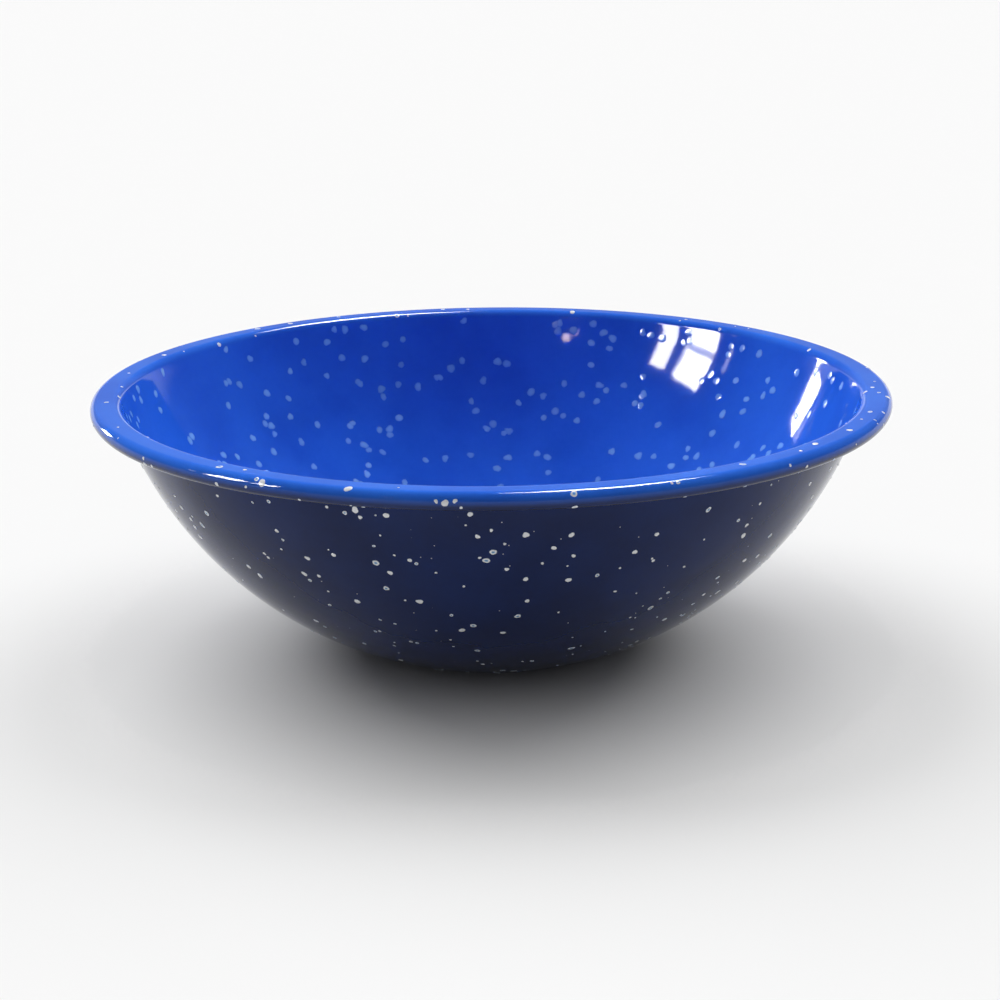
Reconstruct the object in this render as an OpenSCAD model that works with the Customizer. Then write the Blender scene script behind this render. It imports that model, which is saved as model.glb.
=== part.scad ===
// Enamel basin bowl. One steel sheet is pressed to a round bowl and its edge is rolled outwards
// into a hollow rim. A dark ground coat and a blue cover coat are fused to both faces, and white
// enamel is flecked over the blue. Millimetres, +Z up, standing on z = 0 with its axis on Z.

/* [Bowl] */
// Diameter over the rolled rim
rim_d = 260; // [220:1:320]
// Height from the base to the top of the rim
bowl_h = 85.5; // [70:0.5:100]
// Diameter of the flat base
base_d = 80; // [50:1:110]
// Outside radius between the base and the wall
base_corner_r = 14; // [6:0.5:24]

/* [Rim] */
// Height of the rolled rim
rim_h = 5.5; // [4.5:0.1:8]
// Width of the flat on top of the rim
rim_flat_w = 4.4; // [3:0.1:8]
// Inside radius from the wall to the top of the rim
shoulder_r = 3; // [2.2:0.1:4.5]
// Gap between the sheet's cut edge and the wall that it is rolled back to
edge_gap = 0.05; // [0.02:0.01:0.3]

/* [Layers] */
// Thickness of the steel sheet
steel_t = 0.7; // [0.5:0.05:1]
// Thickness of the ground coat on each face
ground_t = 0.12; // [0.08:0.01:0.2]
// Thickness of the blue cover coat on each face
cover_t = 0.18; // [0.1:0.01:0.3]

/* [Flecks] */
// Flecks thrown at the inside: those that would touch another are left off
inner_flecks_n = 760; // [40:10:900]
// Flecks thrown at the rim
rim_flecks_n = 110; // [10:5:120]
// Flecks thrown at the outside
outer_flecks_n = 650; // [40:10:800]
// Diameter of the smallest fleck
fleck_min_d = 0.5; // [0.4:0.1:0.8]
// Diameter of the largest fleck
fleck_max_d = 2; // [1.2:0.1:3]
// Thickness of a fleck on the blue coat
fleck_t = 0.15; // [0.1:0.01:0.2]
// Least width of blue between two flecks
fleck_gap = 0.2; // [0.1:0.05:0.6]
// Throw of the flecks: each number lands them elsewhere
fleck_throw = 7; // [1:1:50]

/* [Hidden] */
$fn = 240;
fleck_fn = 24;

// Distances from the middle of the sheet to the steel, ground and glazed faces
steel_s = steel_t / 2;
ground_s = steel_s + ground_t;
face_s = ground_s + cover_t;

// Bends of the sheet's middle line, as centre and radius
corner_c = [base_d / 2, base_corner_r];
corner_m = base_corner_r - face_s;
curl_c = [rim_d / 2 - rim_h / 2, bowl_h - rim_h / 2];
curl_m = rim_h / 2 - face_s;
shoulder_c = [curl_c.x - rim_flat_w, bowl_h - shoulder_r];
shoulder_m = shoulder_r - face_s;

// The wall is part of a sphere about the axis, tangent to the corner bend and the shoulder bend
tangent_slope = (shoulder_m + corner_m) / (shoulder_c.y - corner_c.y);
tangent_z = (shoulder_c * shoulder_c - corner_c * corner_c - pow(shoulder_m, 2) + pow(corner_m, 2))
    / (2 * (shoulder_c.y - corner_c.y)) - corner_c.y;
tangent_a = 1 - pow(tangent_slope, 2);
tangent_b = tangent_z * tangent_slope - corner_m;
tangent_q = pow(corner_c.x, 2) + pow(tangent_z, 2) - pow(corner_m, 2);
wall_m = (sqrt(pow(tangent_b, 2) + tangent_a * tangent_q) - tangent_b) / tangent_a;
wall_c = [0, corner_c.y + tangent_z - tangent_slope * wall_m];

// Lean of the sheet, from level, where one bend runs into the next
base_lean = atan2(corner_c.x, wall_c.y - corner_c.y);
rim_lean = atan2(shoulder_c.x, wall_c.y - shoulder_c.y);

// The outer coats end where the rolled rim comes back to the wall
under_z = bowl_h - rim_h;
coat_lean = acos((wall_c.y - under_z) / (wall_m + face_s));
edge_r = edge_gap + max(wall_r(face_s, under_z), wall_r(steel_s, under_z + face_s + steel_s));

// Cross-lines that cut one stretch of a layer from the next reach this far each way
reach = 2 * face_s;
// Each bent stretch runs this far into its neighbours, so that they join to one solid
lap = 0.01;
// Sides of the outline that keeps one bend of a ring
wedge_n = 8;

// Flecks: most are small, the top is narrower than the foot, and none hangs over a bend
fleck_skew = 1.3;
fleck_top = 0.8;
// Turn of a rim fleck about its own axis, so that its seam crosses the rim's rings at a slant
seam_turn = 45;
fleck_max_r = fleck_max_d / 2;
inner_r = wall_m - face_s;
outer_r = wall_m + face_s;
inner_margin = asin(fleck_max_r / inner_r);
outer_margin = asin(fleck_max_r / outer_r);
inner_z0 = wall_c.y - inner_r * cos(base_lean + inner_margin);
inner_z1 = wall_c.y - inner_r * cos(rim_lean - inner_margin);
outer_z0 = wall_c.y - outer_r * cos(base_lean + outer_margin);
outer_z1 = wall_c.y - outer_r * cos(coat_lean - outer_margin);

// Area within the inner base, and over the inner wall, each divided by two pi
floor_r = base_d / 2 - fleck_max_r;
floor_area = pow(floor_r, 2) / 2;
inner_area = inner_r * (inner_z1 - inner_z0);

// Lengths over the rim: shoulder and rolled edge, then the run that flecks land on along each stretch
shoulder_l = shoulder_r * rim_lean * PI / 180;
curl_l = rim_h / 2 * PI;
shoulder_run = max(0, shoulder_l - fleck_max_d);
flat_run = max(0, rim_flat_w - fleck_max_d);
curl_run = max(0, curl_l - fleck_max_d);

// Radius of the wall at a height, that far outside the middle of the sheet
function wall_r(out, z) = sqrt(pow(wall_m + out, 2) - pow(wall_c.y - z, 2));

// Direction from the sheet towards its food side, where the sheet leans so far from level
function food_side(lean) = [-sin(lean), cos(lean)];

// Point on a bend, offset to the food side. Turn is 1 where the bend's centre is on that side, or -1
function on_bend(centre, mid_r, turn, lean, offset) =
    centre - turn * (mid_r - turn * offset) * food_side(lean);

// Where a fleck lands, as radius, height and lean, from a share of the surface
function inner_spot(share) =
    let (area = share * (floor_area + inner_area))
    area < floor_area
        ? [sqrt(2 * area), 2 * face_s, 0]
        : wall_spot(-face_s, inner_z0 + (area - floor_area) / inner_r);
function outer_spot(share) = wall_spot(face_s, outer_z0 + share * (outer_z1 - outer_z0));
function wall_spot(out, z) = [wall_r(out, z), z, acos((wall_c.y - z) / (wall_m + out))];
function rim_spot(share) =
    let (along = share * (shoulder_run + flat_run + curl_run))
    along < shoulder_run
        ? bend_spot(shoulder_c, shoulder_r, rim_lean * (1 - (along + fleck_max_r) / shoulder_l))
        : along < shoulder_run + flat_run
            ? [shoulder_c.x + fleck_max_r + along - shoulder_run, bowl_h, 0]
            : bend_spot(curl_c, rim_h / 2, -180 * (along + fleck_max_r - shoulder_run - flat_run) / curl_l);
function bend_spot(centre, r, lean) =
    let (at = centre + r * food_side(lean))
    [at.x, at.y, lean];

// Three dice for each fleck: its share of the surface, its size and its way round the bowl
function dice(flecks_n, seed) =
    let (rolls = rands(0, 1, 3 * flecks_n, seed))
    [for (i = [0:flecks_n - 1]) [rolls[3 * i], rolls[3 * i + 1], 360 * rolls[3 * i + 2]]];

// A fleck is its place, its radius, its lean and its way round the bowl
function fleck(spot, size, way) = [
    [spot[0] * cos(way), spot[0] * sin(way), spot[1]],
    (fleck_min_d + (fleck_max_d - fleck_min_d) * pow(size, fleck_skew)) / 2,
    spot[2],
    way
];
function is_clear(new, kept) =
    len([for (old = kept) if (norm(new[0] - old[0]) < new[1] + old[1] + fleck_gap) old]) == 0;
function landed(thrown, i = 0, kept = []) =
    i == len(thrown)
        ? kept
        : landed(thrown, i + 1, is_clear(thrown[i], kept) ? concat(kept, [thrown[i]]) : kept);

// Straight stretch of a layer between two offsets, from one radius to the next at a height
module flat_stretch(from_r, to_r, z, up, lo, hi) {
    polygon([
        [from_r, z + up * lo],
        [to_r, z + up * lo],
        [to_r, z + up * hi],
        [from_r, z + up * hi]
    ]);
}

// Bent stretch of a layer between two offsets, from one lean to the next
module bent_stretch(centre, mid_r, turn, first, last, lo, hi) {
    lap_lean = sign(last - first) * lap / mid_r * 180 / PI;
    from = first - lap_lean;
    to = last + lap_lean;
    step = (to - from) / wedge_n;
    far_r = (mid_r + reach) / cos(step / 2);
    intersection() {
        translate(centre)
            difference() {
                circle(r = mid_r - turn * (turn > 0 ? lo : hi));
                circle(r = mid_r - turn * (turn > 0 ? hi : lo));
            }
        polygon(concat(
            [on_bend(centre, mid_r, turn, from, turn * reach)],
            [on_bend(centre, mid_r, turn, from, -turn * reach)],
            [for (i = [0:wedge_n - 1]) centre - turn * far_r * food_side(from + (i + 0.5) * step)],
            [on_bend(centre, mid_r, turn, to, -turn * reach)],
            [on_bend(centre, mid_r, turn, to, turn * reach)]
        ));
    }
}

// Base, corner and wall of a layer, up to a lean
module bowl_stretch(lo, hi, top_lean) {
    flat_stretch(0, corner_c.x, face_s, 1, lo, hi);
    bent_stretch(corner_c, corner_m, 1, 0, base_lean, lo, hi);
    bent_stretch(wall_c, wall_m, 1, base_lean, top_lean, lo, hi);
}

// Shoulder, flat top and rolled edge of a layer
module rim_stretch(lo, hi) {
    bent_stretch(shoulder_c, shoulder_m, -1, rim_lean, 0, lo, hi);
    flat_stretch(shoulder_c.x, curl_c.x, bowl_h - face_s, 1, lo, hi);
    bent_stretch(curl_c, curl_m, -1, 0, -180, lo, hi);
}

// A layer that runs from the middle of the base over the rim to the sheet's cut edge
module full_layer(lo, hi) {
    rotate_extrude()
        union() {
            bowl_stretch(lo, hi, rim_lean);
            rim_stretch(lo, hi);
            flat_stretch(curl_c.x, edge_r, under_z + face_s, -1, lo, hi);
        }
}

// A layer on the outside, which ends under the rim
module outside_layer(lo, hi) {
    rotate_extrude()
        bowl_stretch(-hi, -lo, coat_lean);
}

// Stand a child on the bowl where a fleck landed, on the food side or on the outside
module at_fleck(spot, food) {
    translate(spot[0])
        rotate([0, food ? -spot[2] : 180 - spot[2], spot[3]])
            children();
}

// One fleck on the wall or base, raised until its foot clears a hollow surface
module drop(radius, hollow_r) {
    translate([0, 0, hollow_r > 0 ? pow(radius, 2) / (2 * hollow_r) : 0])
        cylinder(h = fleck_t, r1 = radius, r2 = radius * fleck_top, $fn = fleck_fn);
}

module steel_shell() {
    color("#8d9297")
        full_layer(-steel_s, steel_s);
}

module inner_ground_coat() {
    color("#1d2433")
        full_layer(steel_s, ground_s);
}

module outer_ground_coat() {
    color("#1d2433")
        outside_layer(steel_s, ground_s);
}

module inner_blue_coat() {
    color("#2347b8")
        full_layer(ground_s, face_s);
}

module outer_blue_coat() {
    color("#2347b8")
        outside_layer(ground_s, face_s);
}

module inner_flecks() {
    rolled = dice(inner_flecks_n, fleck_throw);
    thrown = [for (roll = rolled) fleck(inner_spot(roll[0]), roll[1], roll[2])];
    color("#eceff5")
        for (spot = landed(thrown))
            at_fleck(spot, true)
                drop(spot[1], inner_r);
}

module rim_flecks() {
    rolled = dice(rim_flecks_n, fleck_throw + 1);
    thrown = [for (roll = rolled) fleck(rim_spot(roll[0]), roll[1], roll[2])];
    color("#eceff5")
        intersection() {
            rotate_extrude()
                rim_stretch(face_s, face_s + fleck_t);
            for (spot = landed(thrown))
                at_fleck(spot, true)
                    rotate(seam_turn)
                        cylinder(h = 2 * spot[1], r = spot[1], center = true, $fn = fleck_fn);
        }
}

module outer_flecks() {
    rolled = dice(outer_flecks_n, fleck_throw + 2);
    thrown = [for (roll = rolled) fleck(outer_spot(roll[0]), roll[1], roll[2])];
    color("#eceff5")
        for (spot = landed(thrown))
            at_fleck(spot, false)
                drop(spot[1], 0);
}

steel_shell();
inner_ground_coat();
outer_ground_coat();
inner_blue_coat();
outer_blue_coat();
inner_flecks();
rim_flecks();
outer_flecks();
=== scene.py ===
"""Enamel basin bowl: a pressed steel bowl with a rolled rim, enamelled blue and flecked with white.

The coats and flecks are made again here, finer than the solids that they stand for, in the same
frame: metres, +Z up, the bowl standing on z = 0 with its axis on Z.
"""

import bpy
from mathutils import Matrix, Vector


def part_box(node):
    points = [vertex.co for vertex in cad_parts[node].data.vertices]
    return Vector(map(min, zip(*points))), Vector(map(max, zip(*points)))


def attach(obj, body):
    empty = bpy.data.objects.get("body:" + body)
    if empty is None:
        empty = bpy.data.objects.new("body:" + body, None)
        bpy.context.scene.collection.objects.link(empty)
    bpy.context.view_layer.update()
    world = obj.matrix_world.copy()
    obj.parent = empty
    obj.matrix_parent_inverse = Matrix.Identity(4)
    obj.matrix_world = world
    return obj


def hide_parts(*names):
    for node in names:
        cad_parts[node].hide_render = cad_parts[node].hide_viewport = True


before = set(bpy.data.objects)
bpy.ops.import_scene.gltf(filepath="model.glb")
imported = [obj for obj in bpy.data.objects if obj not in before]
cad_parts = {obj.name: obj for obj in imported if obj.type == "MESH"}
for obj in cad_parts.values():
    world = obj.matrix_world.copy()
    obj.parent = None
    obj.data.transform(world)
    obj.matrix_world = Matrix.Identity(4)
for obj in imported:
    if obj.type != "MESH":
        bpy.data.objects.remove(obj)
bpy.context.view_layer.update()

import math
import random

import bmesh
import bpy
import numpy as np
from bpy.props import FloatProperty, FloatVectorProperty, IntProperty, PointerProperty
from mathutils import Matrix, Vector

bl_info = {
    "name": "Enamel Basin Bowl",
    "version": (1, 0, 0),
    "blender": (4, 5, 0),
    "location": "View3D > Sidebar > Enamel Bowl",
    "description": "Coats a pressed steel bowl with flecked blue enamel and sets it on a studio floor",
    "category": "Object",
}

BODY = "root"
RIM_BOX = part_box("inner_blue_coat")
GLAZE_IOR = 1.52
# Lengths below this, in metres, count as none
TINY = 1e-6


class BowlSizes(bpy.types.PropertyGroup):
    """Sizes of the pressed sheet and its coats."""

    rim_diameter: FloatProperty(
        name="Rim diameter", description="Over the rolled rim",
        default=round(2 * RIM_BOX[1].x, 4), min=0.2, max=0.35, unit="LENGTH")
    height: FloatProperty(
        name="Height", description="From the base to the top of the rim",
        default=round(RIM_BOX[1].z, 4), min=0.06, max=0.11, unit="LENGTH")
    base_diameter: FloatProperty(
        name="Base diameter", description="Flat part of the base",
        default=0.08, min=0.05, max=0.11, unit="LENGTH")
    base_corner: FloatProperty(
        name="Base corner", description="Outside radius between the base and the wall",
        default=0.014, min=0.006, max=0.024, unit="LENGTH")
    rim_height: FloatProperty(
        name="Rim height", description="Height of the rolled rim",
        default=0.0055, min=0.0045, max=0.008, unit="LENGTH")
    rim_flat: FloatProperty(
        name="Rim flat", description="Width of the flat on top of the rim",
        default=0.0044, min=0.003, max=0.008, unit="LENGTH")
    shoulder: FloatProperty(
        name="Shoulder", description="Inside radius from the wall to the top of the rim",
        default=0.003, min=0.0022, max=0.0045, unit="LENGTH")
    edge_gap: FloatProperty(
        name="Edge gap", description="Between the sheet's cut edge and the wall",
        default=0.00005, min=0.00002, max=0.0003, precision=5, unit="LENGTH")
    steel: FloatProperty(
        name="Steel", description="Thickness of the steel sheet",
        default=0.0007, min=0.0005, max=0.001, precision=5, unit="LENGTH")
    ground: FloatProperty(
        name="Ground coat", description="Thickness of the ground coat on each face",
        default=0.00012, min=0.00008, max=0.0002, precision=5, unit="LENGTH")
    cover: FloatProperty(
        name="Blue coat", description="Thickness of the blue coat on each face",
        default=0.00018, min=0.0001, max=0.0003, precision=5, unit="LENGTH")
    droplet: FloatProperty(
        name="Fleck height", description="Height of a fleck's middle over the blue coat",
        default=0.00012, min=0.00005, max=0.0002, precision=5, unit="LENGTH")
    segments: IntProperty(
        name="Segments", description="Steps round the bowl in each coat",
        default=256, min=64, max=512)


class EnamelFinish(bpy.types.PropertyGroup):
    """Colours and gloss of the enamels and the steel."""

    blue: FloatVectorProperty(
        name="Blue enamel", description="Main colour of the food side and the rim",
        default=(0.026, 0.158, 0.760), min=0, max=1, subtype="COLOR")
    deep_blue: FloatVectorProperty(
        name="Deep blue", description="Food side and rim where the coat lies thick",
        default=(0.015, 0.104, 0.620), min=0, max=1, subtype="COLOR")
    # navy is also laid under the rim of the food-side coat as painted shade.
    navy: FloatVectorProperty(
        name="Outer enamel", description="Main colour of the outside and of the rim's underside",
        default=(0.007, 0.021, 0.105), min=0, max=1, subtype="COLOR")
    deep_navy: FloatVectorProperty(
        name="Deep outer enamel", description="Outside where the coat lies thick",
        default=(0.004, 0.011, 0.056), min=0, max=1, subtype="COLOR")
    pale_blue: FloatVectorProperty(
        name="Sunk flecks", description="Flecks seen through a skin of blue",
        default=(0.32, 0.66, 1.00), min=0, max=1, subtype="COLOR")
    white: FloatVectorProperty(
        name="White enamel", description="Flecks",
        default=(0.86, 0.87, 0.88), min=0, max=1, subtype="COLOR")
    ground: FloatVectorProperty(
        name="Ground enamel", description="Dark coat under the blue",
        default=(0.010, 0.014, 0.030), min=0, max=1, subtype="COLOR")
    steel: FloatVectorProperty(
        name="Steel", description="Bare sheet",
        default=(0.52, 0.53, 0.55), min=0, max=1, subtype="COLOR")
    gloss: FloatProperty(
        name="Roughness", description="Roughness of the fired blue coats",
        default=0.045, min=0.01, max=0.5, subtype="FACTOR")


class StageLook(bpy.types.PropertyGroup):
    """Floor, lamps and camera."""

    floor: FloatVectorProperty(
        name="Floor", description="Colour of the floor",
        default=(0.70, 0.70, 0.70), min=0, max=1, subtype="COLOR")
    floor_glow: FloatProperty(
        name="Floor glow", description="Share of the floor's own white, which softens the shadow",
        default=0.55, min=0, max=1, subtype="FACTOR")
    floor_radius: FloatProperty(
        name="Floor radius", description="How far the floor reaches",
        default=12.0, min=2, max=50, unit="LENGTH")
    sky: FloatProperty(
        name="Ceiling", description="Brightness of the studio overhead",
        default=0.13, min=0, max=2)
    key: FloatProperty(
        name="Key lights", description="Strength of the two broad lights behind the bowl",
        default=2.65, min=0, max=10)
    beam: FloatProperty(
        name="Beam", description="Strength of the narrow soft light from above into the bowl",
        default=0.4, min=0, max=10)
    window: FloatProperty(
        name="Windows", description="Brightness of the windows and the skylight",
        default=48.0, min=0, max=100)
    lens: FloatProperty(
        name="Lens", description="Focal length on a 36 mm frame",
        default=74.55, min=20, max=200)
    distance: FloatProperty(
        name="Camera distance", description="From the middle of the rim to the camera",
        default=0.6825, min=0.3, max=5, unit="LENGTH")
    elevation: FloatProperty(
        name="Camera elevation", description="Angle above the rim's plane",
        default=math.radians(13.27), subtype="ANGLE")
    tilt: FloatProperty(
        name="Camera tilt", description="Angle that the camera looks down by",
        default=math.radians(16.51), subtype="ANGLE")
    pan: FloatProperty(
        name="Camera pan", description="Angle that the camera looks to the right by",
        default=math.radians(0.217), subtype="ANGLE")
    roll: FloatProperty(
        name="Camera roll", description="Turn of the camera about its view",
        default=math.radians(-0.531), subtype="ANGLE")


class Sheet:
    """Middle line of the pressed sheet, as radius, height and lean from level at each step."""

    BASE_STEPS = 10
    CORNER_STEPS = 8
    WALL_STEPS = 44
    SHOULDER_STEPS = 12
    FLAT_STEPS = 4
    CURL_STEPS = 24

    def __init__(self, sizes):
        self.sizes = sizes
        self.steel_s = sizes.steel / 2
        self.ground_s = self.steel_s + sizes.ground
        self.face_s = self.ground_s + sizes.cover
        self.corner_c = np.array([sizes.base_diameter / 2, sizes.base_corner])
        self.corner_m = sizes.base_corner - self.face_s
        half_rim = sizes.rim_height / 2
        self.curl_c = np.array([sizes.rim_diameter / 2 - half_rim, sizes.height - half_rim])
        self.curl_m = half_rim - self.face_s
        self.shoulder_c = np.array([self.curl_c[0] - sizes.rim_flat, sizes.height - sizes.shoulder])
        self.shoulder_m = sizes.shoulder - self.face_s
        self._fit_wall()

    def _fit_wall(self):
        """The wall is part of a sphere about the axis, tangent to the corner and to the shoulder."""
        rise = self.shoulder_c[1] - self.corner_c[1]
        slope = (self.shoulder_m + self.corner_m) / rise
        squares = self.shoulder_c @ self.shoulder_c - self.corner_c @ self.corner_c
        squares += self.corner_m ** 2 - self.shoulder_m ** 2
        start_z = squares / (2 * rise) - self.corner_c[1]
        a = 1 - slope ** 2
        b = start_z * slope - self.corner_m
        q = self.corner_c[0] ** 2 + start_z ** 2 - self.corner_m ** 2
        self.wall_m = (math.sqrt(b ** 2 + a * q) - b) / a
        self.wall_c = np.array([0.0, self.corner_c[1] + start_z - slope * self.wall_m])
        self.base_lean = math.atan2(self.corner_c[0], self.wall_c[1] - self.corner_c[1])
        self.rim_lean = math.atan2(self.shoulder_c[0], self.wall_c[1] - self.shoulder_c[1])
        self.under_z = self.sizes.height - self.sizes.rim_height
        self.coat_lean = math.acos((self.wall_c[1] - self.under_z) / (self.wall_m + self.face_s))
        coat_r = self._wall_r(self.face_s, self.under_z)
        steel_r = self._wall_r(self.steel_s, self.under_z + self.face_s + self.steel_s)
        self.edge_r = self.sizes.edge_gap + max(coat_r, steel_r)

    def _wall_r(self, out, z):
        return math.sqrt((self.wall_m + out) ** 2 - (self.wall_c[1] - z) ** 2)

    @staticmethod
    def _bend(centre, radius, turn, first, last, steps):
        for lean in np.linspace(first, last, steps + 1)[1:]:
            r = centre[0] + turn * radius * math.sin(lean)
            z = centre[1] - turn * radius * math.cos(lean)
            yield (r, z, lean)

    @staticmethod
    def _run(first_r, last_r, z, lean, steps):
        for r in np.linspace(first_r, last_r, steps + 1)[1:]:
            yield (r, z, lean)

    def bowl_line(self, top_lean):
        """From the middle of the base up the wall."""
        line = [(0.0, self.face_s, 0.0)]
        line += self._run(0, self.corner_c[0], self.face_s, 0.0, self.BASE_STEPS)
        line += self._bend(self.corner_c, self.corner_m, 1, 0, self.base_lean, self.CORNER_STEPS)
        line += self._bend(self.wall_c, self.wall_m, 1, self.base_lean, top_lean, self.WALL_STEPS)
        return line

    def full_line(self):
        """From the middle of the base over the rim to the sheet's cut edge."""
        top_z = self.sizes.height - self.face_s
        edge_z = self.under_z + self.face_s
        line = self.bowl_line(self.rim_lean)
        line += self._bend(self.shoulder_c, self.shoulder_m, -1, self.rim_lean, 0, self.SHOULDER_STEPS)
        line += self._run(self.shoulder_c[0], self.curl_c[0], top_z, 0.0, self.FLAT_STEPS)
        line += self._bend(self.curl_c, self.curl_m, -1, 0, -math.pi, self.CURL_STEPS)
        line += self._run(self.curl_c[0], self.edge_r, edge_z, -math.pi, self.FLAT_STEPS)
        return line

    def inner_line(self):
        """Glazed face of the food side and the rim."""
        return np.array(offset_line(self.full_line(), self.face_s))

    def outer_line(self):
        """Glazed face of the outside."""
        return np.array(offset_line(self.bowl_line(self.coat_lean), -self.face_s))


def offset_line(line, offset):
    """A line moved to the food side of the sheet by an offset, or to the outside by a negative one."""
    moved = []
    for r, z, lean in line:
        moved.append((max(0.0, r - offset * math.sin(lean)), z + offset * math.cos(lean), lean))
    return moved


def turned_coat(name, face, back, segments):
    """One coat as a closed layer: its glazed face, its edge and its back, turned about the axis."""
    section = [(r, z) for r, z, lean in face] + [(r, z) for r, z, lean in reversed(back)]
    coat = bmesh.new()
    rings = []
    for r, z in section:
        if r < TINY:
            rings.append([coat.verts.new((0, 0, z))])
            continue
        ways = (2 * math.pi * step / segments for step in range(segments))
        rings.append([coat.verts.new((r * math.cos(way), r * math.sin(way), z)) for way in ways])
    for ring, after in zip(rings, rings[1:]):
        for step in range(segments):
            corners = [ring[step % len(ring)], ring[(step + 1) % len(ring)]]
            corners += [after[(step + 1) % len(after)], after[step % len(after)]]
            coat.faces.new(list(dict.fromkeys(corners)))
    return finished_mesh(name, coat)


def finished_mesh(name, shape, flat=()):
    """A piece of a shape, its faces turned outwards, and smooth but for those named as flat."""
    bmesh.ops.recalc_face_normals(shape, faces=shape.faces)
    for face in shape.faces:
        face.smooth = face not in flat
    mesh = bpy.data.meshes.new(name)
    shape.to_mesh(mesh)
    shape.free()
    piece = bpy.data.objects.new(name, mesh)
    bpy.context.scene.collection.objects.link(piece)
    return piece


def dress(piece, material, slot, *nodes):
    """Give a piece its material, set it on the bowl's body and let it stand for its solids."""
    piece.data.materials.clear()
    piece.data.materials.append(material)
    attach(piece, BODY)
    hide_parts(*nodes)


def fleck_spots(node):
    """Middle and radius of each fleck of a node."""
    shape = bmesh.new()
    shape.from_mesh(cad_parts[node].data)
    bmesh.ops.remove_doubles(shape, verts=shape.verts, dist=TINY)
    seen = set()
    for start in shape.verts:
        if start in seen:
            continue
        seen.add(start)
        fleck = [start]
        for vert in fleck:
            near = [edge.other_vert(vert) for edge in vert.link_edges]
            fresh = [other for other in near if other not in seen]
            seen.update(fresh)
            fleck += fresh
        points = np.array([vert.co for vert in fleck])
        middle = (points.min(0) + points.max(0)) / 2
        yield middle, np.linalg.norm(points - middle, axis=1).max()
    shape.free()


class Droplets:
    """Flecks of melted enamel on a coat's face, each closed, with an uneven edge sunk in the coat."""

    SIDES = 14
    # Waves round a fleck's edge: how many, and the most that they add to its radius
    LOBES = ((2, 0.20), (3, 0.12), (5, 0.06))
    # Least distance from the axis that a fleck is laid out for
    LEAST_R = 1e-4

    def __init__(self, line, side, height, seed):
        steps = np.diff(line[:, :2], axis=0)
        self.along = np.concatenate([[0], np.cumsum(np.linalg.norm(steps, axis=1))])
        self.line = line
        self.side = side
        self.height = height
        self.dice = random.Random(seed)
        self.shape = bmesh.new()
        self.pale = self.shape.verts.layers.float.new("pale")
        self.backs = set()

    def nearest(self, spot):
        """Distance along the face's line to the point nearest a spot."""
        flat = np.array([math.hypot(spot[0], spot[1]), spot[2]])
        start = self.line[:-1, :2]
        step = np.diff(self.line[:, :2], axis=0)
        share = np.clip(((flat - start) * step).sum(1) / (step ** 2).sum(1), 0, 1)
        gaps = np.linalg.norm(start + share[:, None] * step - flat, axis=1)
        best = int(gaps.argmin())
        return self.along[best] + share[best] * (self.along[best + 1] - self.along[best])

    def point(self, along, way, height):
        r, z, lean = (np.interp(along, self.along, self.line[:, part]) for part in range(3))
        r -= self.side * height * math.sin(lean)
        z += self.side * height * math.cos(lean)
        return (r * math.cos(way), r * math.sin(way), z)

    def add(self, spot, rings):
        """Rings give radius, share of the height and paleness, from the middle out."""
        middle_along = self.nearest(spot)
        middle_way = math.atan2(spot[1], spot[0])
        middle_r = max(self.LEAST_R, float(np.interp(middle_along, self.along, self.line[:, 0])))
        lobes = [(count, self.dice.uniform(0, most), self.dice.uniform(0, 2 * math.pi))
                 for count, most in self.LOBES]
        before = None
        for radius, rise, paleness in rings:
            ring = []
            for side in range(self.SIDES if radius > 0 else 1):
                turn = 2 * math.pi * side / self.SIDES
                edge = 1 + sum(size * math.cos(count * turn + start) for count, size, start in lobes)
                u = radius * edge * math.cos(turn)
                v = radius * edge * math.sin(turn)
                place = self.point(abs(middle_along + u), middle_way + v / middle_r, rise * self.height)
                vert = self.shape.verts.new(place)
                vert[self.pale] = paleness
                ring.append(vert)
            if before:
                for side in range(self.SIDES):
                    after = (side + 1) % self.SIDES
                    corners = [before[side % len(before)], ring[side]]
                    corners += [ring[after], before[after % len(before)]]
                    self.shape.faces.new(list(dict.fromkeys(corners)))
            before = ring
        self.backs.add(self.shape.faces.new(before))

    def piece(self, name):
        return finished_mesh(name, self.shape, self.backs)


def solid_rings(radius, dice):
    """A fleck that stands on the glaze, white to its edge, or with a sunk middle where it has burst."""
    burst_share = 0.3
    widening = 1.12
    edge = (1, -0.1, 0.6)
    if dice.random() < burst_share:
        shares = ((0, 0.35, 0.35), (0.3, 0.55, 0.5), (0.55, 1.0, 0.95), (0.88, 0.6, 0.95), edge)
    else:
        shares = ((0, 1.0, 0.95), (0.4, 0.95, 1.0), (0.75, 0.75, 1.0), (0.92, 0.4, 0.9), edge)
    spread = widening * radius
    return [(reach * spread, rise, paleness) for reach, rise, paleness in shares]


def melted_rings(radius, dice):
    """A fleck that has spread and sunk into the glaze, and fades into the blue at its edge."""
    least_spread = 0.00078
    growth = 0.4
    spread = least_spread + growth * radius
    core = dice.uniform(0.48, 0.66)
    return [
        (0, 0.7, core),
        (0.6 * spread, 0.65, 0.95 * core),
        (1.0 * spread, 0.45, 0.8 * core),
        (1.3 * spread, 0.15, 0.35 * core),
        (1.6 * spread, -0.1, 0.0),
    ]


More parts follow.
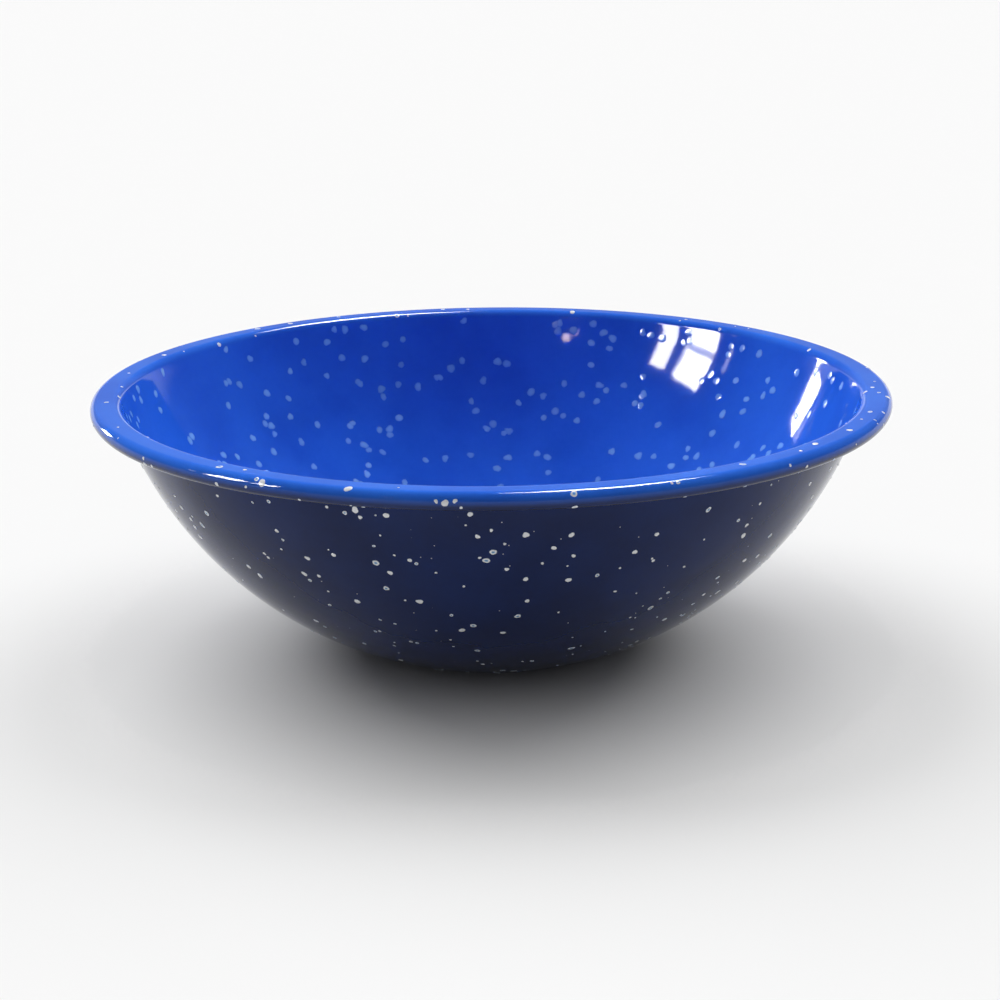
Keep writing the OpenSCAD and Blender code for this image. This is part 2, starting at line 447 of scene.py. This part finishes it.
class Value:
    """A socket's value, which Python's operators add Math nodes to."""

    def __init__(self, shader, socket):
        self.shader = shader
        self.socket = socket

    def _math(self, operation, first, second):
        return self.shader.node("ShaderNodeMath", {"operation": operation}, {0: first, 1: second})

    def __add__(self, other):
        return self._math("ADD", self, other)

    def __radd__(self, other):
        return self._math("ADD", other, self)

    def __sub__(self, other):
        return self._math("SUBTRACT", self, other)

    def __rsub__(self, other):
        return self._math("SUBTRACT", other, self)

    def __mul__(self, other):
        return self._math("MULTIPLY", self, other)

    def __rmul__(self, other):
        return self._math("MULTIPLY", other, self)

    def __lt__(self, other):
        return self._math("LESS_THAN", self, other)


class Shader:
    """Node tree of a material or of the world."""

    def __init__(self, owner):
        owner.use_nodes = True
        self.tree = owner.node_tree
        self.tree.nodes.clear()

    def node(self, kind, settings, sockets, output=0):
        """Any node: its type, its settings, then the values or links of its sockets."""
        made = self.tree.nodes.new(kind)
        for name, value in settings.items():
            setattr(made, name, value)
        for name, value in sockets.items():
            if isinstance(value, Value):
                self.tree.links.new(value.socket, made.inputs[name])
            else:
                made.inputs[name].default_value = value
        return Value(self, made.outputs[output]) if made.outputs else None

    def place(self):
        return self.node("ShaderNodeTexCoord", {}, {}, "Object")

    def noise(self, place, scale, detail=2.0):
        return self.node("ShaderNodeTexNoise", {}, {"Vector": place, "Scale": scale, "Detail": detail})

    def ramp(self, value, low, high):
        """0 up to low and 1 from high, smooth between them."""
        return self.node(
            "ShaderNodeMapRange", {"interpolation_type": "SMOOTHSTEP"},
            {"Value": value, "From Min": low, "From Max": high})

    def mix(self, share, first, second):
        """Colour mixed from two, by a share of the second."""
        return self.node(
            "ShaderNodeMix", {"data_type": "RGBA"},
            {0: share, 6: rgba(first), 7: rgba(second)}, 2)

    def height(self, place):
        return self.node("ShaderNodeSeparateXYZ", {}, {"Vector": place}, "Z")

    def radius(self, place):
        level = self.node("ShaderNodeVectorMath", {"operation": "MULTIPLY"}, {0: place, 1: (1, 1, 0)})
        return self.node("ShaderNodeVectorMath", {"operation": "LENGTH"}, {0: level}, "Value")

    def bump(self, height, depth):
        return self.node("ShaderNodeBump", {}, {"Height": height, "Distance": depth, "Strength": 1.0})

    def surface(self, **sockets):
        """Finish with a Principled surface. Names of sockets have _ for each space."""
        named = {name.replace("_", " "): value for name, value in sockets.items()}
        shader = self.node("ShaderNodeBsdfPrincipled", {}, named)
        self.node("ShaderNodeOutputMaterial", {}, {"Surface": shader})


def rgba(colour):
    """A colour with its alpha, or a socket's value as it is."""
    return colour if isinstance(colour, Value) else (*colour[:3], 1.0)


def enamel_clouds(shader, place):
    """Where the coat lies thick, and its fine grain."""
    cloud = shader.ramp(shader.noise(place, 26.0, 3.0), 0.35, 0.68)
    grain = shader.noise(place, 520.0, 2.0)
    return 0.6 * cloud + 0.25 * grain, grain


def enamel_bump(shader, place, dust):
    """Long waves and faint peel of a fired coat, with the dust that stands on it."""
    wave = shader.noise(place, 48.0, 1.0)
    peel = shader.noise(place, 360.0, 1.0)
    return shader.bump(wave + 0.04 * peel + 0.15 * dust, 0.00012)


def cobalt_enamel(finish):
    """Fired blue of the food side and the rim, with painted shade in the outside's darker blue under
    the rim.
    """
    material = bpy.data.materials.new("cobalt_enamel")
    shader = Shader(material)
    place = shader.place()
    cloud, grain = enamel_clouds(shader, place)
    blue = shader.mix(cloud, finish.blue, finish.deep_blue)
    navy = shader.mix(cloud, finish.navy, finish.deep_navy)
    # Painted shade: the rolled rim's outer, lower half and its underside, which face down, take the
    # outside's darker blue.
    roll_start = RIM_BOX[1].x - 0.0100
    roll_fade = 0.0008
    shade_top = RIM_BOX[1].z - 0.0008
    shade_fade = 0.0034
    rolled = shader.ramp(shader.radius(place), roll_start, roll_start + roll_fade)
    upper = shader.ramp(shader.height(place), shade_top - shade_fade, shade_top)
    shader.surface(
        Base_Color=shader.mix(rolled * (1 - upper), blue, navy),
        Roughness=finish.gloss + 0.03 * grain,
        IOR=GLAZE_IOR,
        Specular_IOR_Level=0.25,
        Normal=enamel_bump(shader, place, 0.0))
    return material


def navy_enamel(finish):
    """A far darker blue than the food side's, on the outside, dusted with white and scuffed where the
    bowl stands.
    """
    material = bpy.data.materials.new("navy_enamel")
    shader = Shader(material)
    place = shader.place()
    cloud, grain = enamel_clouds(shader, place)
    navy = shader.mix(cloud, finish.navy, finish.deep_navy)

    cells = {"Vector": place, "Scale": 270.0}
    dust_gap = shader.node("ShaderNodeTexVoronoi", {}, cells, "Distance")
    dust_pick = shader.node("ShaderNodeTexVoronoi", {}, cells, "Color")
    dust = (1 - shader.ramp(dust_gap, 0.035, 0.06)) * (dust_pick < 0.5)
    dusted = shader.mix(0.75 * dust, navy, finish.white)

    standing = 1 - shader.ramp(shader.height(place), 0.0001, 0.0004)
    edge = shader.ramp(shader.radius(place), 0.028, 0.039)
    scuff = standing * edge * shader.ramp(shader.noise(place, 700.0, 4.0), 0.54, 0.66)
    shader.surface(
        Base_Color=shader.mix(0.2 * scuff, dusted, finish.steel),
        Roughness=finish.gloss + 0.03 * grain + 0.35 * scuff,
        IOR=GLAZE_IOR,
        Specular_IOR_Level=0.16,
        Normal=enamel_bump(shader, place, dust))
    return material


def fleck_surface(material, finish, coat):
    """Fleck enamel, white where it lies thick, and the colour of the coat where it has sunk away."""
    shader = Shader(material)
    place = shader.place()
    pale = shader.node("ShaderNodeAttribute", {"attribute_name": "pale"}, {}, "Fac")
    grain = shader.noise(place, 2600.0, 2.0)
    greyed = (0.50, 0.54, 0.66)
    white = shader.mix(0.25 * shader.ramp(grain, 0.45, 0.7), finish.white, greyed)
    veiled = shader.mix(shader.ramp(pale, 0.65, 0.85), finish.pale_blue, white)
    shader.surface(
        Base_Color=shader.mix(pale, coat, veiled),
        Roughness=0.08 + 0.08 * grain,
        IOR=GLAZE_IOR,
        Normal=shader.bump(grain, 0.00002))
    return material


def fleck_enamel(finish):
    return fleck_surface(bpy.data.materials.new("fleck_enamel"), finish, finish.blue)


def outer_fleck_enamel(finish):
    return fleck_surface(bpy.data.materials.new("outer_fleck_enamel"), finish, finish.navy)


def grip_enamel(finish):
    """Dark coat that grips the steel, with fine pinholes."""
    material = bpy.data.materials.new("grip_enamel")
    shader = Shader(material)
    place = shader.place()
    cloud = shader.noise(place, 60.0, 3.0)
    cells = {"Vector": place, "Scale": 700.0}
    pinhole_gap = shader.node("ShaderNodeTexVoronoi", {}, cells, "Distance")
    pinhole = 1 - shader.ramp(pinhole_gap, 0.08, 0.16)
    clouded = (0.02, 0.03, 0.06)
    shader.surface(
        Base_Color=shader.mix(0.6 * cloud, finish.ground, clouded),
        Roughness=0.22 + 0.15 * cloud,
        IOR=1.5,
        Normal=shader.bump(cloud - 0.6 * pinhole, 0.00004))
    return material


def bare_steel(finish):
    """Cold rolled sheet with faint rolling marks and spots of scale."""
    material = bpy.data.materials.new("bare_steel")
    shader = Shader(material)
    place = shader.place()
    stretched = shader.node(
        "ShaderNodeVectorMath", {"operation": "MULTIPLY"}, {0: place, 1: (1.0, 0.06, 1.0)})
    marks = shader.noise(stretched, 900.0, 3.0)
    scale_spots = shader.ramp(shader.noise(place, 90.0, 4.0), 0.58, 0.7)
    scale_brown = (0.16, 0.13, 0.12)
    shader.surface(
        Base_Color=shader.mix(0.5 * scale_spots, finish.steel, scale_brown),
        Metallic=1 - 0.5 * scale_spots,
        Roughness=0.28 + 0.2 * marks,
        Normal=shader.bump(marks, 0.00002))
    return material


def seen_directly(shader):
    """1 where a straight, mirrored or see-through view meets a surface, 0 where it only gives light."""
    ray = shader.node("ShaderNodeLightPath", {}, {}, "Is Camera Ray")
    names = ("Is Glossy Ray", "Is Transmission Ray")
    mirrored, through = (Value(shader, ray.socket.node.outputs[name]) for name in names)
    return ray + mirrored + through


def studio_floor(stage):
    """Pale seamless paper, which away from the bowl also glows a little where it is looked at."""
    material = bpy.data.materials.new("studio_floor")
    shader = Shader(material)
    place = shader.place()
    fibre = shader.noise(place, 40.0, 3.0)
    fibre_shade = 0.985
    shaded = [fibre_shade * part for part in stage.floor]
    paper = shader.node("ShaderNodeBsdfDiffuse", {}, {"Color": shader.mix(fibre, stage.floor, shaded)})
    glow = shader.node("ShaderNodeEmission", {}, {"Color": (1, 1, 1, 1), "Strength": 1.0})
    share = stage.floor_glow * shader.ramp(shader.radius(place), 0.04, 0.20) * seen_directly(shader)
    mixed = shader.node("ShaderNodeMixShader", {}, {0: share, 1: paper, 2: glow})
    shader.node("ShaderNodeOutputMaterial", {}, {"Surface": mixed})
    return material


def shared_material(maker, finish):
    """A finish that several pieces have, made once."""
    return bpy.data.materials.get(maker.__name__) or maker(finish)


class ENAMEL_OT_core(bpy.types.Operator):
    """Finish the steel sheet and the ground coats on it"""

    bl_idname = "enamel_bowl.core"
    bl_label = "Steel and Ground Coats"

    def execute(self, context):
        finish = context.scene.enamel_finish
        finishes = {
            "steel_shell": shared_material(bare_steel, finish),
            "inner_ground_coat": shared_material(grip_enamel, finish),
            "outer_ground_coat": shared_material(grip_enamel, finish),
        }
        for node, material in finishes.items():
            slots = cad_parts[node].data.materials
            slots.clear()
            slots.append(material)
        return {"FINISHED"}


class ENAMEL_OT_inner_coat(bpy.types.Operator):
    """Turn the blue coat of the food side and the rim"""

    bl_idname = "enamel_bowl.inner_coat"
    bl_label = "Inner Blue Coat"

    def execute(self, context):
        sizes = context.scene.bowl_sizes
        sheet = Sheet(sizes)
        back = offset_line(sheet.full_line(), sheet.ground_s)
        coat = turned_coat("inner_enamel", sheet.inner_line(), back, sizes.segments)
        material = shared_material(cobalt_enamel, context.scene.enamel_finish)
        dress(coat, material, "blue_enamel", "inner_blue_coat")
        return {"FINISHED"}


class ENAMEL_OT_outer_coat(bpy.types.Operator):
    """Turn the blue coat of the outside and the base"""

    bl_idname = "enamel_bowl.outer_coat"
    bl_label = "Outer Blue Coat"

    def execute(self, context):
        sizes = context.scene.bowl_sizes
        sheet = Sheet(sizes)
        back = offset_line(sheet.bowl_line(sheet.coat_lean), -sheet.ground_s)
        coat = turned_coat("outer_enamel", sheet.outer_line(), back, sizes.segments)
        material = shared_material(navy_enamel, context.scene.enamel_finish)
        dress(coat, material, "blue_enamel", "outer_blue_coat")
        return {"FINISHED"}


class ENAMEL_OT_flecks(bpy.types.Operator):
    """Melt the white flecks onto the inside, the rim and the outside"""

    bl_idname = "enamel_bowl.flecks"
    bl_label = "White Flecks"

    def execute(self, context):
        sizes = context.scene.bowl_sizes
        sheet = Sheet(sizes)
        groups = (
            ("inner_flecks", sheet.inner_line(), 1, melted_rings, fleck_enamel),
            ("rim_flecks", sheet.inner_line(), 1, solid_rings, fleck_enamel),
            ("outer_flecks", sheet.outer_line(), -1, solid_rings, outer_fleck_enamel),
        )
        for seed, (node, line, side, make_rings, maker) in enumerate(groups):
            drops = Droplets(line, side, sizes.droplet, seed)
            for spot, radius in fleck_spots(node):
                drops.add(spot, make_rings(radius, drops.dice))
            material = shared_material(maker, context.scene.enamel_finish)
            dress(drops.piece(node.replace("flecks", "droplets")), material, "white_enamel", node)
        return {"FINISHED"}


def aimed_from(azimuth, elevation, distance, target):
    """A place at an angle round and above a target, facing it. Azimuth 0 is behind the bowl."""
    level = math.cos(elevation)
    way = Vector((math.sin(azimuth) * level, math.cos(azimuth) * level, math.sin(elevation)))
    turn = way.to_track_quat("Z", "Y").to_matrix().to_4x4()
    return Matrix.Translation(target + distance * way) @ turn


def add_lamp(name, kind, settings, place, mirrored=True, lights=True):
    """A lamp that shiny faces mirror or not, and that lights dull faces or not."""
    lamp = bpy.data.lights.new(name, kind)
    for setting, value in settings.items():
        setattr(lamp, setting, value)
    made = bpy.data.objects.new(name, lamp)
    made.matrix_world = place
    made.visible_camera = False
    made.visible_glossy = mirrored
    made.visible_diffuse = lights
    bpy.context.scene.collection.objects.link(made)


def add_window(name, azimuth, elevation, width, height, brightness, colour=(1.0, 1.0, 1.0)):
    """A lit pane of a size given by the angles that it spans from the bowl."""
    distance = 6.0
    bowl_middle = Vector((0, 0, 0.07))
    size_x = 2 * distance * math.tan(math.radians(width) / 2)
    size_y = 2 * distance * math.tan(math.radians(height) / 2)
    settings = {
        "shape": "RECTANGLE",
        "size": size_x,
        "size_y": size_y,
        "energy": brightness * math.pi * size_x * size_y,
        "color": colour,
    }
    place = aimed_from(math.radians(azimuth), math.radians(elevation), distance, bowl_middle)
    add_lamp(name, "AREA", settings, place, lights=False)


def add_floor(stage):
    """One wide triangle, so that no edge between faces runs under the bowl."""
    corners = 3
    floor_z = -0.0001
    reach = stage.floor_radius / math.cos(math.pi / corners)
    ways = [2 * math.pi * corner / corners for corner in range(corners)]
    shape = bmesh.new()
    places = [(reach * math.cos(way), reach * math.sin(way), floor_z) for way in ways]
    shape.faces.new([shape.verts.new(place) for place in places])
    floor = finished_mesh("floor", shape)
    floor.data.materials.append(studio_floor(stage))


def light_studio(stage):
    """A pale studio, with broad keys from behind, a skylight, and windows on the left."""
    world = bpy.data.worlds.new("studio")
    bpy.context.scene.world = world
    shader = Shader(world)
    rise = shader.height(shader.node("ShaderNodeTexCoord", {}, {}, "Generated"))
    band_low = math.sin(math.radians(3))
    band_top = math.sin(math.radians(8))
    horizon = 1 - shader.ramp(rise, band_low, band_top)
    strength = stage.sky + (1 - stage.sky) * horizon
    glow = shader.node("ShaderNodeBackground", {}, {"Color": (1, 1, 1, 1), "Strength": strength})
    shader.node("ShaderNodeOutputWorld", {}, {"Surface": glow})

    key_rise = math.radians(44)
    key_width = math.radians(50)
    for name, azimuth, share in (("key_left", -44, 1.15), ("key_right", 44, 0.85)):
        place = aimed_from(math.radians(azimuth), key_rise, 3.0, Vector((0, 0, 0.05)))
        settings = {"energy": share * stage.key, "angle": key_width}
        add_lamp(name, "SUN", settings, place, mirrored=False)
    beam_d = 0.2
    beam_spread = math.radians(8)
    beam_rise = math.radians(84)
    settings = {
        "shape": "DISK",
        "size": beam_d,
        "spread": beam_spread,
        "energy": stage.beam * (math.pi * beam_d / 2) ** 2,
    }
    place = aimed_from(0.0, beam_rise, 1.0, Vector((0, 0, 0.08)))
    add_lamp("beam", "AREA", settings, place, mirrored=False)
    add_window("skylight", 22, 61, 15, 17, stage.window)
    add_window("back_panel", 0, 15, 70, 12, 0.003 * stage.window)
    add_window("window_narrow", -114.2, 24.3, 6, 11, stage.window)
    add_window("window_wide", -101, 23, 11.5, 14, 0.3 * stage.window)
    add_window("window_top", -100.5, 18, 10, 4, stage.window)
    add_window("window_foot", -100.5, 26, 10.5, 8.5, stage.window)
    add_window("window_bar", -88.5, 19.4, 1.5, 6, 0.2 * stage.window)
    add_window("far_window", -45, 9, 6, 8, stage.window)
    add_window("warm_lamp", -152, 28, 2.2, 2.2, 0.6 * stage.window, (1.0, 0.78, 0.6))
    add_window("warm_lamp_far", -149, 26, 1.8, 1.8, 0.3 * stage.window, (1.0, 0.75, 0.62))


def add_camera(stage, rim_z):
    """Camera above the front of the rim, turned by its own tilt, pan and roll."""
    lens = bpy.data.cameras.new("camera")
    lens.lens = stage.lens
    lens.sensor_width = 36.0
    lens.clip_start = 0.01
    lens.clip_end = 100.0
    camera = bpy.data.objects.new("camera", lens)
    back = stage.distance * math.cos(stage.elevation)
    place = Vector((0, -back, rim_z + stage.distance * math.sin(stage.elevation)))
    turn = Matrix.Rotation(-stage.pan, 4, "Z") @ Matrix.Rotation(math.pi / 2 - stage.tilt, 4, "X")
    camera.matrix_world = Matrix.Translation(place) @ turn @ Matrix.Rotation(stage.roll, 4, "Z")
    bpy.context.scene.collection.objects.link(camera)
    bpy.context.scene.camera = camera


class ENAMEL_OT_stage(bpy.types.Operator):
    """Lay the floor, light the studio and place the camera"""

    bl_idname = "enamel_bowl.stage"
    bl_label = "Stage"

    def execute(self, context):
        stage = context.scene.stage_look
        add_floor(stage)
        light_studio(stage)
        add_camera(stage, context.scene.bowl_sizes.height)
        context.scene.view_settings.view_transform = "Standard"
        return {"FINISHED"}


STEPS = (
    ENAMEL_OT_core,
    ENAMEL_OT_inner_coat,
    ENAMEL_OT_outer_coat,
    ENAMEL_OT_flecks,
    ENAMEL_OT_stage,
)


class ENAMEL_PT_bowl(bpy.types.Panel):
    """Steps and settings of the bowl"""

    bl_label = "Enamel Bowl"
    bl_space_type = "VIEW_3D"
    bl_region_type = "UI"
    bl_category = "Enamel Bowl"

    def draw(self, context):
        for step in STEPS:
            self.layout.operator(step.bl_idname)
        for group_name, group in GROUPS.items():
            box = self.layout.box()
            for name in group.__annotations__:
                box.prop(getattr(context.scene, group_name), name)


GROUPS = {"bowl_sizes": BowlSizes, "enamel_finish": EnamelFinish, "stage_look": StageLook}
CLASSES = (*GROUPS.values(), *STEPS, ENAMEL_PT_bowl)


def register():
    for each in CLASSES:
        bpy.utils.register_class(each)
    for name, group in GROUPS.items():
        setattr(bpy.types.Scene, name, PointerProperty(type=group))


def unregister():
    for name in GROUPS:
        delattr(bpy.types.Scene, name)
    for each in reversed(CLASSES):
        bpy.utils.unregister_class(each)


def main():
    register()
    bpy.ops.enamel_bowl.core()
    bpy.ops.enamel_bowl.inner_coat()
    bpy.ops.enamel_bowl.outer_coat()
    bpy.ops.enamel_bowl.flecks()
    bpy.ops.enamel_bowl.stage()
    bpy.context.view_layer.update()


if __name__ == "__main__":
    main()
